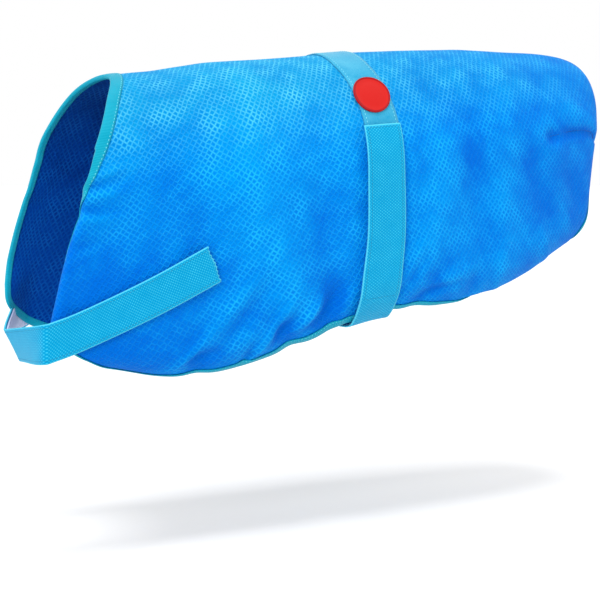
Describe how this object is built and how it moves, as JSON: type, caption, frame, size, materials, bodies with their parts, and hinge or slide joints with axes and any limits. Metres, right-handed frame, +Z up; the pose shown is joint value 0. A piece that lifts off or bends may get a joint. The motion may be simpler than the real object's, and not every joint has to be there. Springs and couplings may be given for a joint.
{
  "type": "dog cooling coat",
  "caption": "Worn, hollow dog cooling coat of embossed chamois cloth with a bound edge, a loop tape over the back, belly and chest straps with hook tape and a plain round badge.",
  "frame": {"origin": "on the inner face of the back, on the spine, under the back loop tape, where the wearer's back holds the coat", "axes": "-X towards the neck opening and +X towards the rump, -Y to the coat's left side, +Z up away from the wearer's back"},
  "size_m": [0.6154, 0.1711, 0.2722],
  "materials": {
    "chamois_cloth": "embossed, matt with a soft sheen",
    "edge_tape": "woven, soft sheen",
    "loop_tape": "brushed loop, satin",
    "webbing": "woven, matt",
    "hook_tape": "moulded hooks, matt",
    "moulded_rubber": "soft satin"
  },
  "bodies": {
    "root": {"coat_body": "chamois_cloth", "neck_binding": "edge_tape", "hem_binding_left": "edge_tape", "hem_binding_right": "edge_tape", "rear_binding": "edge_tape", "back_band": "loop_tape", "belly_strap": "webbing", "belly_strap_hook_tape": "hook_tape", "chest_strap": "webbing", "chest_strap_hook_tape": "hook_tape", "badge": "moulded_rubber"}
  },
  "joints": []
}
